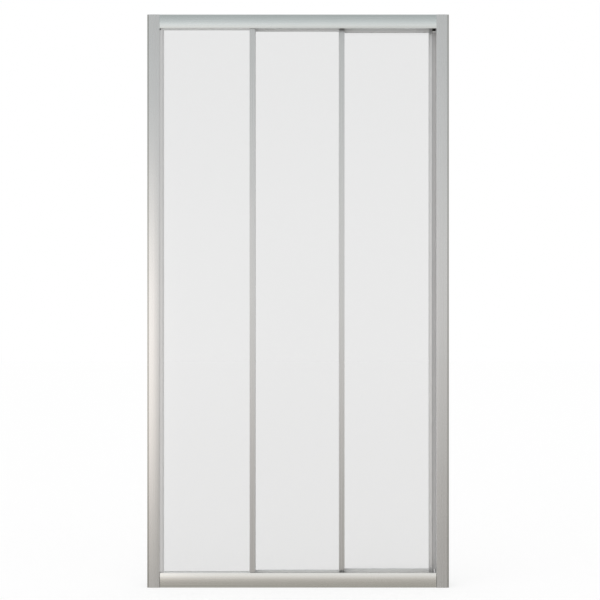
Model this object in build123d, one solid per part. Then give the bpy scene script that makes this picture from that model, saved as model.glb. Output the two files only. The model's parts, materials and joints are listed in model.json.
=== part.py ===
from build123d import *
import os

# Sliding shower door with three glass panels, shown closed. X runs across the doorway, Y from the
# outside towards the shower and Z up. The origin is the middle of the frame's foot. Millimetres.
# The front panel is fixed at the left. The middle and the rear panel hang on rollers in the top
# rail and slide left behind it. All the profiles are aluminium extrusions.

# Frame
frame_width = 1000.0
frame_height = 1900.0
top_rail_height = 45.5
bottom_rail_height = 48.5
frame_wall = 1.8
fascia_bulge = 2.2
track_pitch = 19.0
channel_width = 17.4

# Wall profiles and jambs
wall_profile_base = 2.0
wall_profile_wall = 1.6
wall_profile_flange = 26.0
wall_gap = 5.0
jamb_face = 36.0
jamb_wall = 2.0
jamb_edge_wall = 1.2
jamb_bulge = 1.0
jamb_corner_radius = 0.9
telescope_clearance = 0.3
telescope_fin_length = 17.0
telescope_fin_wall = 1.4
wall_hole_radius = 2.75
outer_hole_spacing = 1600.0
inner_hole_spacing = 540.0
lock_screw_spacing = 750.0

# Pocket on the doorway side of each jamb, which takes the edge of the end panel
pocket_fin_length = 7.6
pocket_fin_wall = 1.5
pocket_clearance = 0.7
pocket_notch_top = 6.0
pocket_notch_bottom = 4.0
strip_rib_reach = 2.6
strip_rib_wall = 1.2
strip_lip = 1.4
strip_half_width = 4.4

# Panels
panel_depth = 12.0
panel_wall = 1.4
glass_thickness = 4.0
stile_width = 18.0
wall_stile_width = 8.9
closing_stile_width = 16.4
jamb_panel_gap = 3.2
stile_pocket = 8.0
closing_pocket = 6.0
rail_pocket = 8.0
sight_step_bottom = 2.0
sight_step_top = 2.5
fixed_sight_extra = 3.0
middle_sight_less = 4.1
gasket_base = 1.1
gasket_lip = 0.8
seat_clearance = 0.05
cut_margin = 1.0
profile_corner_radius = 0.7

# Interlocking hooks between neighbouring stiles
hook_wall = 1.4
hook_leg_offset = 2.2
hook_gap = 0.6
hook_end_setback = 3.0
pile_width = 5.0
pile_height = 1.4
pile_offset = 5.0

# Roller track and rollers
ledge_thickness = 1.8
ledge_inset = 1.2
header_rear_setback = 13.5
bead_radius = 1.2
roller_radius = 9.5
roller_width = 5.6
roller_side_gap = 1.2
roller_head_gap = 1.0
roller_track_gap = 0.1
groove_half_width = 1.8
groove_foot_half = 0.8
bead_clearance = 0.1
bearing_outer_radius = 6.8
bearing_split_radius = 4.2
bearing_running_gap = 0.1
bearing_width = 5.4
axle_radius = 2.45
axle_shoulder_radius = 3.4
axle_head_thickness = 0.8
rivet_head_radius = 4.0
rivet_head_thickness = 1.2
rivet_crown_share = 0.6
roller_inset = 62.0

# Brackets in the T-slot of the panel's top rail
t_slot_width = 6.0
t_slot_lip = 1.6
t_slot_height = 4.8
rail_lift_gap = 2.5
bracket_plate = 2.2
bracket_plate_offset = -1.5
bracket_width = 16.0
bracket_foot_length = 44.0
bracket_foot_thickness = 2.2
foot_clearance = 0.2
bracket_top_margin = 3.6
bracket_screw_offset = 15.0
bracket_screw_radius = 1.95
bracket_screw_head_radius = 3.6
bracket_screw_head = 1.8
bracket_screw_length = 5.2

# Blocks that hang the fixed panel on the front track
neck_clearance = 0.3
ledge_clearance = 0.4
hook_roof = 4.5

# Bottom guides
channel_floor = 26.0
guide_rib_width = 2.0
guide_rib_height = 4.0
panel_rib_gap = 0.8
guide_slot_clearance = 0.4
shoe_length = 40.0
shoe_floor_gap = 0.6
shoe_inset = 62.0
front_web_setback = 3.5
rear_web_setback = 8.5
rear_wall_setback = 12.5
drain_length = 24.0
drain_height = 3.0
drain_spacing = 460.0

# Screws and the round ports that take them
port_bore_radius = 2.05
port_wall = 1.35
port_seat = 2.6
port_sink = 0.85
front_port_y = -22.0
rear_port_y = 13.3
screw_shank_radius = 1.95
screw_hole_clearance = 0.3
frame_screw_length = 22.0
frame_screw_head_radius = 3.5
screw_head_height = 2.0
head_crown_share = 0.6
panel_screw_length = 22.0
panel_screw_head_radius = 3.2
access_hole_radius = 3.8
lock_screw_radius = 1.6
lock_screw_head_radius = 3.2
lock_screw_length = 4.8
lock_screw_sink = 0.4

# Finger flange on the closing stile, magnet strips, rubber parts
flange_thickness = 2.8
flange_reach = 10.0
flange_cove_radius = 3.6
flange_end_setback = 8.0
magnet_lip = 1.2
magnet_slot = 2.0
magnet_gap = 0.4
magnet_nose_half = 2.6
closing_nose = 0.3
magnet_end_setback = 5.0
pad_thickness = 2.0
pad_width = 5.0
pad_nose_radius = 0.65
pad_height = 22.0
pad_foot_inset = 210.0
pad_middle_drop = 600.0
pad_head_inset = 144.0
stop_clearance = 0.4
buffer_thickness = 10.0
buffer_width = 10.0
buffer_drop = 7.0
buffer_rise = 13.5
buffer_nose_radius = 2.5
corner_gasket_thickness = 1.0

# Places across the frame
web_wall = track_pitch - channel_width
track_half = track_pitch + channel_width / 2
rail_edge_y = track_half + frame_wall
fascia_setback = 0.3
jamb_half_depth = rail_edge_y + fascia_bulge + fascia_setback
wall_x = frame_width / 2
jamb_outer_x = wall_x - wall_gap
jamb_inner_x = jamb_outer_x - jamb_face
jamb_cavity_half = jamb_half_depth - jamb_bulge - jamb_edge_wall
wall_profile_half = jamb_cavity_half - telescope_clearance
fixed_y = -track_pitch
middle_y = 0.0
leading_y = track_pitch
half_depth = panel_depth / 2
inner_half = half_depth - panel_wall

panel_end_x = jamb_inner_x - jamb_panel_gap
wall_stile_edge = -panel_end_x + wall_stile_width
closing_stile_edge = panel_end_x - closing_stile_width
sight_total = closing_stile_edge - wall_stile_edge - 2 * stile_width
fixed_sight = sight_total / 3 + fixed_sight_extra
middle_sight = sight_total / 3 - middle_sight_less
first_stile_x = wall_stile_edge + fixed_sight + stile_width / 2
second_stile_x = first_stile_x + middle_sight + stile_width

# Heights
top_rail_foot = frame_height - top_rail_height
sight_bottom = bottom_rail_height + sight_step_bottom
sight_top = top_rail_foot - sight_step_top
axle_z = frame_height - frame_wall - roller_head_gap - roller_radius
ledge_z = axle_z - roller_radius - roller_track_gap
panel_top = ledge_z - ledge_thickness - rail_lift_gap
panel_bottom = channel_floor + guide_rib_height + panel_rib_gap
slot_roof = panel_top - t_slot_lip
slot_floor = slot_roof - t_slot_height
top_pocket_roof = sight_top + rail_pocket
bottom_pocket_floor = sight_bottom - rail_pocket
port_outer_radius = port_bore_radius + port_wall
top_port_z = (top_pocket_roof + slot_floor) / 2
bottom_port_z = bottom_pocket_floor - panel_wall - port_outer_radius + port_sink
frame_port_top_z = frame_height - frame_wall - port_seat
frame_port_bottom_z = frame_wall + port_seat
pocket_foot = bottom_rail_height + pocket_notch_bottom
pocket_head = top_rail_foot - pocket_notch_top
hook_foot = sight_bottom + hook_end_setback
hook_head = sight_top - hook_end_setback
roller_y = channel_width / 2 - roller_side_gap - roller_width / 2
rolling_radius = axle_z - ledge_z - bead_radius


def rect(x0, y0, x1, y1):
    """A rectangle between two corners of a section."""
    return Pos((x0 + x1) / 2, (y0 + y1) / 2) * Rectangle(abs(x1 - x0), abs(y1 - y0))


def ring(x, y, outer, inner):
    return Pos(x, y) * (Circle(outer) - Circle(inner))


def open_port(x, y, way):
    """A round screw port with a slit along it, upwards (1) or downwards (-1)."""
    port = ring(x, y, port_outer_radius, port_bore_radius)
    return port - rect(x - port_wall / 2, y, x + port_wall / 2, y + way * port_outer_radius)


def along_x(section, start, end):
    """A section drawn in Y and Z, run from start to end along X."""
    return extrude(Plane.YZ.offset(start) * section, amount=end - start)


def along_z(section, start, end):
    """A section drawn in X and Y, run from start to end along Z."""
    return extrude(Plane.XY.offset(start) * section, amount=end - start)


def box(x0, y0, z0, x1, y1, z1):
    """A block between two corners."""
    return along_z(rect(x0, y0, x1, y1), z0, z1)


def x_hole(x0, x1, y, z, radius):
    return along_x(Pos(y, z) * Circle(radius), min(x0, x1), max(x0, x1))


def z_hole(x, y, z0, z1, radius):
    return along_z(Pos(x, y) * Circle(radius), z0, z1)


def pan_screw(length, shank, head, head_height):
    """A pan head screw along +X, with its domed head below X = 0."""
    crown = head * head_crown_share
    outline = Polyline(
        (-head_height, 0),
        (-head_height, crown),
        (0, head),
        (0, shank),
        (length, shank),
        (length, 0),
        close=True,
    )
    return revolve(make_face(outline), Axis.X)


def countersunk_screw(length, shank, head):
    """A countersunk screw along -Y, with its flat head at Y = 0."""
    taper = head - shank
    outline = Polyline((0, 0), (head, 0), (shank, -taper), (shank, -length), (0, -length), close=True)
    return revolve(make_face(outline), Axis.Y)


def bowed_fascia(foot, head):
    """The front wall of a rail: even thickness, bowed outwards."""
    mid = (foot + head) / 2
    outer_y = -rail_edge_y
    inner_y = outer_y + frame_wall
    outline = (
        ThreePointArc((outer_y, foot), (outer_y - fascia_bulge, mid), (outer_y, head))
        + Line((outer_y, head), (inner_y, head))
        + ThreePointArc((inner_y, head), (inner_y - fascia_bulge, mid), (inner_y, foot))
        + Line((inner_y, foot), (outer_y, foot))
    )
    return make_face(outline)


# Frame pieces


def wall_profile():
    """The channel screwed to the left wall. The jamb telescopes over it."""
    half = wall_profile_half
    base = rect(-wall_x, -half, -wall_x + wall_profile_base, half)
    front = rect(-wall_x, -half, -wall_x + wall_profile_flange, -half + wall_profile_wall)
    rear = rect(-wall_x, half - wall_profile_wall, -wall_x + wall_profile_flange, half)
    channel = along_z(base + front + rear, 0, frame_height)
    mid = frame_height / 2
    base_front = -wall_x + wall_profile_base + cut_margin
    for spacing in (outer_hole_spacing, inner_hole_spacing):
        for z in (mid - spacing / 2, mid + spacing / 2):
            channel -= x_hole(-wall_x - cut_margin, base_front, 0, z, wall_hole_radius)
    return channel


def jamb_rear_y(x):
    """The Y of a jamb's bowed rear face at an X."""
    middle = (jamb_outer_x + jamb_inner_x) / 2
    radius = ((jamb_face / 2) ** 2 + jamb_bulge**2) / (2 * jamb_bulge)
    return jamb_half_depth - radius + (radius**2 - (abs(x) - middle) ** 2) ** 0.5


def lock_screw_places(side):
    """Where the screws that lock a jamb to its wall profile sit, in the rear face. Side -1 is the left."""
    x = side * (jamb_outer_x + wall_x - wall_profile_flange) / 2
    y = jamb_rear_y(x) - lock_screw_sink
    mid = frame_height / 2
    return [Pos(x, y, mid + step * lock_screw_spacing) for step in (-1, 0, 1)]


def jamb_section():
    """The left jamb's section without the doorway pocket: bowed front and rear, open to the wall."""
    outer_x = -jamb_outer_x
    inner_x = -jamb_inner_x
    mid = (outer_x + inner_x) / 2
    edge = jamb_half_depth - jamb_bulge
    apex = jamb_half_depth
    outline = (
        ThreePointArc((outer_x, -edge), (mid, -apex), (inner_x, -edge))
        + Line((inner_x, -edge), (inner_x, edge))
        + ThreePointArc((inner_x, edge), (mid, apex), (outer_x, edge))
        + Line((outer_x, edge), (outer_x, -edge))
    )
    section = Sketch() + make_face(outline)
    section = fillet(section.vertices(), jamb_corner_radius)
    section -= rect(outer_x - cut_margin, -jamb_cavity_half, inner_x - jamb_wall, jamb_cavity_half)
    slot = wall_profile_half - wall_profile_wall - telescope_clearance
    fin_start = inner_x - jamb_wall - telescope_fin_length
    for side in (-1, 1):
        section += rect(fin_start, side * slot, inner_x - jamb_wall, side * (slot - telescope_fin_wall))
    return section


def pocket_section():
    """Fins beside the end panel's stile, with lipped ribs between them for a strip."""
    inner_x = -jamb_inner_x
    fin_inner = half_depth + pocket_clearance
    section = Sketch()
    for side in (-1, 1):
        fin_a = fixed_y + side * fin_inner
        fin_b = fixed_y + side * (fin_inner + pocket_fin_wall)
        section += rect(inner_x, fin_a, inner_x + pocket_fin_length, fin_b)
        rib_a = fixed_y + side * strip_half_width
        rib_b = fixed_y + side * (strip_half_width + strip_rib_wall)
        section += rect(inner_x, rib_a, inner_x + strip_rib_reach, rib_b)
        lip_x = inner_x + strip_rib_reach - strip_rib_wall
        section += rect(lip_x, rib_b, inner_x + strip_rib_reach, rib_a - side * strip_lip)
    return section


def port_places():
    """The (y, z) of the four screw ports at each end of the frame."""
    return [
        (y, z)
        for y in (front_port_y, rear_port_y)
        for z in (frame_port_bottom_z, frame_port_top_z)
    ]


def on_side(piece, side):
    """A piece drawn for the left wall, as it is (-1) or turned half round for the right wall (1)."""
    return Rot(0, 0, 180) * piece if side > 0 else piece


def jamb(side):
    """A jamb. Turned half round at the right, its pocket faces the rear track."""
    body = along_z(jamb_section(), 0, frame_height)
    body += along_z(pocket_section(), pocket_foot, pocket_head)
    body = on_side(body, side)
    head_hole = lock_screw_head_radius + screw_hole_clearance / 2
    recess = Pos(0, lock_screw_sink, 0) * Rot(90, 0, 0) * Cylinder(head_hole, 2 * lock_screw_sink)
    for place in lock_screw_places(side):
        body -= place * lock_screw(screw_hole_clearance / 2)
        body -= place * recess
    near = side * (jamb_inner_x - cut_margin)
    far = side * (jamb_inner_x + jamb_wall + cut_margin)
    for y, z in port_places():
        body -= x_hole(near, far, y, z, screw_shank_radius + screw_hole_clearance)
    return body


def lock_screw(grow=0.0):
    """A lock screw, or with grow the hole that clears it."""
    shank = lock_screw_radius + grow
    return countersunk_screw(lock_screw_length + grow, shank, lock_screw_head_radius + grow)


def drilled_wall_profile(side):
    body = on_side(wall_profile(), side)
    for place in lock_screw_places(side):
        body -= place * lock_screw(screw_hole_clearance / 2)
    return body


def jamb_lock_screws():
    """Three countersunk screws in each jamb's rear face, reached from inside the shower."""
    places = lock_screw_places(-1) + lock_screw_places(1)
    return Compound(children=[place * lock_screw() for place in places])


def track_channel(y):
    """The ledge and running bead of one track, inside the top rail."""
    wall_side = y + channel_width / 2
    ledge = rect(y + ledge_inset, ledge_z - ledge_thickness, wall_side, ledge_z)
    return ledge + Pos(y + roller_y, ledge_z) * Circle(bead_radius)


def top_rail_section():
    """Bowed fascia, roof, shorter rear wall, and three roller ledges that hang from the webs."""
    roof = frame_height - frame_wall
    rear_foot = top_rail_foot + header_rear_setback
    section = bowed_fascia(top_rail_foot, frame_height)
    section += rect(-rail_edge_y, roof, rail_edge_y, frame_height)
    section += rect(rail_edge_y - frame_wall, rear_foot, rail_edge_y, frame_height)
    for web in (-track_pitch / 2, track_pitch / 2):
        section += rect(web - web_wall / 2, ledge_z - ledge_thickness, web + web_wall / 2, roof)
    for y in (fixed_y, middle_y, leading_y):
        section += track_channel(y)
    for y in (front_port_y, rear_port_y):
        section += open_port(y, frame_port_top_z, -1)
    return section


def top_rail():
    return along_x(top_rail_section(), -jamb_inner_x, jamb_inner_x)


def bottom_rail_section():
    """Bowed fascia, foot, channel floor with three guide ribs, and walls that step down inwards."""
    floor_foot = channel_floor - frame_wall
    section = bowed_fascia(0, bottom_rail_height)
    section += rect(-rail_edge_y, 0, rail_edge_y, frame_wall)
    section += rect(-rail_edge_y, floor_foot, rail_edge_y, channel_floor)
    section += rect(rail_edge_y - frame_wall, 0, rail_edge_y, bottom_rail_height - rear_wall_setback)
    for web, setback in ((-track_pitch / 2, front_web_setback), (track_pitch / 2, rear_web_setback)):
        section += rect(web - web_wall / 2, 0, web + web_wall / 2, bottom_rail_height - setback)
    for y in (fixed_y, middle_y, leading_y):
        half = guide_rib_width / 2
        section += rect(y - half, floor_foot, y + half, channel_floor + guide_rib_height)
    for y in (front_port_y, rear_port_y):
        section += open_port(y, frame_port_bottom_z, 1)
    return section


def bottom_rail():
    """The threshold, with drain slots through the webs and the rear wall into the shower."""
    reach = jamb_inner_x - corner_gasket_thickness
    rail = along_x(bottom_rail_section(), -reach, reach)
    walls = (-track_pitch / 2, track_pitch / 2, rail_edge_y - frame_wall / 2)
    for x in (-drain_spacing / 2, drain_spacing / 2):
        for y in walls:
            slot = Pos(x, channel_floor + drain_height / 2) * SlotOverall(drain_length, drain_height)
            rail -= extrude(Plane.XZ.offset(-y - frame_wall) * slot, amount=2 * frame_wall)
    return rail


def bottom_corner_gaskets():
    """Rubber pads between the threshold's ends and the jambs."""
    head = bottom_rail_height - rear_wall_setback
    pad = bowed_fascia(0, bottom_rail_height) + rect(-rail_edge_y, 0, rail_edge_y, head)
    for y in (front_port_y, rear_port_y):
        pad -= Pos(y, frame_port_bottom_z) * Circle(screw_shank_radius + screw_hole_clearance)
    near = jamb_inner_x - corner_gasket_thickness
    return Compound(children=[along_x(pad, near, jamb_inner_x), along_x(pad, -jamb_inner_x, -near)])


def frame_corner_screws():
    """Self-tapping screws from inside the jambs into the ports of both rails."""
    screw = pan_screw(frame_screw_length, screw_shank_radius, frame_screw_head_radius, screw_head_height)
    start = jamb_inner_x + jamb_wall
    left = [Pos(-start, y, z) * screw for y, z in port_places()]
    right = [Pos(start, y, z) * Rot(0, 0, 180) * screw for y, z in port_places()]
    return Compound(children=left + right)


def track_buffers():
    """A rubber end stop in the middle track at each jamb."""
    half = buffer_width / 2
    foot = top_rail_foot - buffer_drop
    head = top_rail_foot + buffer_rise
    near = jamb_inner_x - buffer_thickness
    block = rect(near, -half, jamb_inner_x, half)
    nose = block.vertices().group_by(Axis.X)[0]
    right = along_z(fillet(nose, buffer_nose_radius), foot, head)
    return Compound(children=[right, Rot(0, 0, 180) * right])


def jamb_magnet_strip():
    """The strip held in the right jamb's ribs, facing the closing stile."""
    rib_x = jamb_inner_x - strip_rib_reach
    base_x = rib_x + strip_rib_wall + seat_clearance
    base_half = strip_half_width - seat_clearance
    nose_x = panel_end_x + closing_nose + magnet_gap
    section = rect(base_x, leading_y - base_half, jamb_inner_x, leading_y + base_half)
    section += rect(nose_x, leading_y - magnet_nose_half, base_x, leading_y + magnet_nose_half)
    return along_z(section, pocket_foot + magnet_end_setback, pocket_head - magnet_end_setback)


# Panel pieces, drawn about a panel's own middle plane


def interlock_section():
    """Section of an interlock stile at a panel's right edge: glass pocket, hollow and corner radii."""
    half = stile_width / 2
    section = Sketch() + rect(-half, -half_depth, half, half_depth)
    section = fillet(section.vertices(), profile_corner_radius)
    pocket_back = -half + stile_pocket
    section -= rect(-half - cut_margin, -inner_half, pocket_back, inner_half)
    section -= rect(pocket_back + panel_wall, -inner_half, half - panel_wall, inner_half)
    return section


def hook_section():
    """The rear hook of an interlock stile. The neighbour's hook is this one turned half round."""
    middle = track_pitch / 2
    leg_in = hook_leg_offset
    leg_out = hook_leg_offset + hook_wall
    tip_low = middle + hook_gap / 2
    tip_high = tip_low + hook_wall
    leg = rect(leg_in, half_depth - panel_wall / 2, leg_out, tip_high)
    return leg + rect(-hook_leg_offset + hook_gap, tip_low, leg_out, tip_high)


def panel_screw_holes(inner_x, outer_x, seat_x):
    """Cutters for a stile's corner screws: access from outer_x to seat_x, a hole on to inner_x."""
    cutters = []
    for z in (bottom_port_z, top_port_z):
        cutters.append(x_hole(inner_x, seat_x, 0, z, screw_shank_radius + screw_hole_clearance))
        if outer_x != seat_x:
            cutters.append(x_hole(outer_x, seat_x, 0, z, access_hole_radius))
    return cutters


def interlock_stile():
    """Right-hand interlock stile about its own middle."""
    stile = along_z(interlock_section(), panel_bottom, panel_top)
    stile += along_z(hook_section(), hook_foot, hook_head)
    half = stile_width / 2
    pocket_back = -half + stile_pocket
    seat = pocket_back + panel_wall
    for cutter in panel_screw_holes(pocket_back - cut_margin, half + cut_margin, seat):
        stile -= cutter
    return stile


def wall_stile():
    """Plain channel round the fixed glass's outer edge, inside the left jamb's pocket."""
    left = -panel_end_x
    section = rect(left, -half_depth, wall_stile_edge, half_depth)
    section -= rect(left + panel_wall, -inner_half, wall_stile_edge + cut_margin, inner_half)
    stile = along_z(section, panel_bottom, panel_top)
    for cutter in panel_screw_holes(left + panel_wall + cut_margin, left - cut_margin, left - cut_margin):
        stile -= cutter
    return stile


def finger_flange_section():
    """Full-height finger flange on the closing stile, with a cove on its glass side."""
    root_y = -half_depth
    flange_right = closing_stile_edge + closing_pocket + panel_wall
    flange_left = flange_right - flange_thickness
    tip_y = root_y - flange_reach
    nose = flange_thickness / 2
    outline = (
        Line((flange_right, root_y + panel_wall / 2), (flange_right, tip_y + nose))
        + ThreePointArc(
            (flange_right, tip_y + nose), (flange_right - nose, tip_y), (flange_left, tip_y + nose)
        )
        + Line((flange_left, tip_y + nose), (flange_left, root_y - flange_cove_radius))
        + RadiusArc(
            (flange_left, root_y - flange_cove_radius),
            (flange_left - flange_cove_radius, root_y),
            flange_cove_radius,
        )
        + Polyline(
            (flange_left - flange_cove_radius, root_y),
            (flange_left - flange_cove_radius, root_y + panel_wall / 2),
            (flange_right, root_y + panel_wall / 2),
        )
    )
    return make_face(outline)


def closing_section():
    """Closing stile: glass pocket at the left, hollow, and a lipped slot for the magnet strip."""
    left = closing_stile_edge
    right = panel_end_x
    pocket_back = left + closing_pocket
    lip_x = right - magnet_lip
    slot_x = lip_x - magnet_slot
    section = Sketch() + rect(left, -half_depth, right, half_depth)
    section = fillet(section.vertices(), profile_corner_radius)
    section -= rect(left - cut_margin, -inner_half, pocket_back, inner_half)
    section -= rect(pocket_back + panel_wall, -inner_half, slot_x - panel_wall, inner_half)
    section -= rect(slot_x, -strip_half_width, lip_x, strip_half_width)
    nose_slot = magnet_nose_half + seat_clearance
    section -= rect(lip_x, -nose_slot, right + cut_margin, nose_slot)
    return section


def closing_stile():
    stile = along_z(closing_section(), panel_bottom, panel_top)
    flange_foot = sight_bottom + flange_end_setback
    flange_head = sight_top - flange_end_setback
    stile += along_z(finger_flange_section(), flange_foot, flange_head)
    pocket_back = closing_stile_edge + closing_pocket
    seat = pocket_back + panel_wall
    for cutter in panel_screw_holes(pocket_back - cut_margin, panel_end_x + cut_margin, seat):
        stile -= cutter
    return stile


def closing_magnet_strip():
    lip_x = panel_end_x - magnet_lip
    base_half = strip_half_width - seat_clearance
    section = rect(lip_x - magnet_slot + seat_clearance, -base_half, lip_x - seat_clearance, base_half)
    nose_x = panel_end_x + closing_nose
    section += rect(lip_x - magnet_slot / 2, -magnet_nose_half, nose_x, magnet_nose_half)
    return along_z(section, pocket_foot + magnet_end_setback, pocket_head - magnet_end_setback)


def panel_top_rail_section():
    """Glass pocket below, screw port in the middle, T-slot for the brackets above."""
    section = rect(-half_depth, sight_top, half_depth, panel_top)
    section -= rect(-inner_half, sight_top - cut_margin, inner_half, top_pocket_roof)
    section -= rect(-inner_half, top_pocket_roof + panel_wall, inner_half, slot_floor - panel_wall)
    section -= rect(-inner_half, slot_floor, inner_half, slot_roof)
    section -= rect(-t_slot_width / 2, slot_roof, t_slot_width / 2, panel_top + cut_margin)
    section += ring(0, top_port_z, port_outer_radius, port_bore_radius)
    return section - Pos(0, top_port_z) * Circle(port_bore_radius)


def panel_bottom_rail_section():
    """Glass pocket above, screw port under it, legs that hold the guide shoes."""
    section = rect(-half_depth, panel_bottom, half_depth, sight_bottom)
    section -= rect(-inner_half, bottom_pocket_floor, inner_half, sight_bottom + cut_margin)
    legs_head = bottom_pocket_floor - panel_wall
    section -= rect(-inner_half, panel_bottom - cut_margin, inner_half, legs_head)
    section += ring(0, bottom_port_z, port_outer_radius, port_bore_radius)
    return section - Pos(0, bottom_port_z) * Circle(port_bore_radius)


def glass_pane(left, right):
    half = glass_thickness / 2
    foot = bottom_pocket_floor + gasket_base
    head = top_pocket_roof - gasket_base
    return box(left, -half, foot, right, half, head)


def glazing_gasket(glass_left, glass_right, sight_left, sight_right):
    """Channel gasket round the glass. Its lips stand a little way out of the profiles."""
    grow = gasket_base - seat_clearance
    half = inner_half - seat_clearance
    foot = bottom_pocket_floor + seat_clearance
    head = top_pocket_roof - seat_clearance
    outer = box(glass_left - grow, -half, foot, glass_right + grow, half, head)
    window = box(
        sight_left + gasket_lip, -half - cut_margin, sight_bottom + gasket_lip,
        sight_right - gasket_lip, half + cut_margin, sight_top - gasket_lip,
    )
    return outer - window - glass_pane(glass_left, glass_right)


def corner_screws(left_seat, right_seat):
    """Four screws into the rail ports, from the seats inside the two stiles."""
    screw = pan_screw(panel_screw_length, screw_shank_radius, panel_screw_head_radius, screw_head_height)
    screws = []
    for z in (bottom_port_z, top_port_z):
        screws.append(Pos(left_seat, 0, z) * screw)
        screws.append(Pos(right_seat, 0, z) * Rot(0, 0, 180) * screw)
    return Compound(children=screws)


def pile_strip(stile_x):
    """Brush pile on the rear face of a right-hand interlock stile."""
    middle = stile_x - pile_offset
    half = pile_width / 2
    section = rect(middle - half, half_depth, middle + half, half_depth + pile_height)
    return along_z(section, hook_foot, hook_head)


def roller_tyre():
    """Moulded tyre on the Y axis, with a vee groove that runs on the track bead."""
    half = roller_width / 2
    groove_foot = rolling_radius - bead_clearance
    outline = Polyline(
        (bearing_outer_radius, -half), (roller_radius, -half), (roller_radius, -groove_half_width),
        (groove_foot, -groove_foot_half), (groove_foot, groove_foot_half),
        (roller_radius, groove_half_width), (roller_radius, half), (bearing_outer_radius, half),
        close=True,
    )
    return revolve(make_face(outline), Axis.Y)


def bearing_ring(inner, outer):
    half = bearing_width / 2
    return revolve(rect(inner, -half, outer, half), Axis.Y)


def roller_bracket():
    """Pressed steel hanger about the roller's X: a foot in the T-slot and an upright plate."""
    foot_top = slot_roof
    foot_bottom = slot_roof - bracket_foot_thickness
    reach = bracket_foot_length / 2
    foot_half = inner_half - foot_clearance
    foot = box(-reach, -foot_half, foot_bottom, reach, foot_half, foot_top)
    half = bracket_width / 2
    head = axle_z + bracket_top_margin
    outline = rect(-half, foot_bottom, half, head)
    top_corners = outline.vertices().group_by(Axis.Y)[-1]
    plate_back = bracket_plate_offset + bracket_plate / 2
    plate = extrude(Plane.XZ.offset(-plate_back) * fillet(top_corners, half / 2), amount=bracket_plate)
    bracket = foot + plate
    axle_hole = Rot(90, 0, 0) * Cylinder(axle_radius, 2 * bracket_plate)
    bracket -= Pos(0, bracket_plate_offset, axle_z) * axle_hole
    hole_radius = bracket_screw_radius + seat_clearance
    for x in (-bracket_screw_offset, bracket_screw_offset):
        bracket -= z_hole(x, 0, foot_bottom - cut_margin, foot_top + cut_margin, hole_radius)
    return bracket


def bracket_screws():
    """The two screws of a bracket. Their heads clamp the lips of the T-slot."""
    head = (bracket_screw_head_radius, bracket_screw_head)
    down = Rot(0, 90, 0) * pan_screw(bracket_screw_length, bracket_screw_radius, *head)
    return [Pos(side * bracket_screw_offset, 0, panel_top) * down for side in (-1, 1)]


def roller_axle():
    """Riveted axle: rivet head, stem through the plate, shoulder, bearing seat and end head."""
    plate_front = bracket_plate_offset - bracket_plate / 2
    plate_back = bracket_plate_offset + bracket_plate / 2
    seat_start = roller_y - bearing_width / 2
    seat_end = roller_y + bearing_width / 2
    stem = axle_radius - seat_clearance
    outline = Polyline(
        (0, plate_front - rivet_head_thickness),
        (rivet_head_radius * rivet_crown_share, plate_front - rivet_head_thickness),
        (rivet_head_radius, plate_front),
        (stem, plate_front),
        (stem, plate_back),
        (axle_shoulder_radius, plate_back),
        (axle_shoulder_radius, seat_start),
        (stem, seat_start),
        (stem, seat_end),
        (axle_shoulder_radius, seat_end),
        (axle_shoulder_radius, seat_end + axle_head_thickness),
        (0, seat_end + axle_head_thickness),
        close=True,
    )
    return Pos(0, 0, axle_z) * revolve(make_face(outline), Axis.Y)


def guide_shoe(floor_gap):
    """Moulded block between the bottom rail's legs, slotted over the guide rib."""
    half = inner_half - 2 * seat_clearance
    foot = channel_floor + floor_gap
    head = bottom_port_z - port_outer_radius - 2 * seat_clearance
    block = rect(-half, foot, half, head)
    slot_half = guide_rib_width / 2 + guide_slot_clearance
    slot_head = channel_floor + guide_rib_height + guide_slot_clearance
    block -= rect(-slot_half, foot - cut_margin, slot_half, slot_head)
    return along_x(block, -shoe_length / 2, shoe_length / 2)


def hanger_block():
    """Moulded block that hangs the fixed panel's top rail on the front track's bead."""
    foot_half = inner_half - foot_clearance
    foot_top = slot_roof
    foot_bottom = slot_roof - bracket_foot_thickness
    foot = rect(-foot_half, foot_bottom, foot_half, foot_top)
    neck_front = -t_slot_width / 2 + neck_clearance
    neck_back = ledge_inset - ledge_clearance
    bead_top = ledge_z + bead_radius
    hook_top = bead_top + hook_roof
    neck = rect(neck_front, foot_bottom, neck_back, hook_top)
    hook = rect(neck_front, bead_top + roller_track_gap, channel_width / 2 - neck_clearance, hook_top)
    return along_x(foot + neck + hook, -bracket_foot_length / 2, bracket_foot_length / 2)


def pick_up_pads():
    """Clear bumpers on the flange's left face. They meet the middle panel's stile on opening."""
    face = closing_stile_edge + closing_pocket + panel_wall - flange_thickness
    tip_y = -half_depth - flange_reach + flange_thickness / 2
    pads = []
    for z in (sight_bottom + pad_foot_inset, sight_top - pad_middle_drop, sight_top - pad_head_inset):
        profile = rect(face - pad_thickness, tip_y, face, tip_y + pad_width)
        nose = profile.vertices().group_by(Axis.X)[0]
        pads.append(along_z(fillet(nose, pad_nose_radius), z - pad_height / 2, z + pad_height / 2))
    return Compound(children=pads)


# Travels: the middle panel runs to the left buffer, and the rear panel to the middle panel's stile
middle_left_edge = first_stile_x - stile_width / 2
middle_travel = middle_left_edge + jamb_inner_x - buffer_thickness - stop_clearance
pad_face_x = closing_stile_edge + closing_pocket + panel_wall - flange_thickness - pad_thickness
leading_travel = pad_face_x - (second_stile_x + stile_width / 2) - stop_clearance


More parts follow.
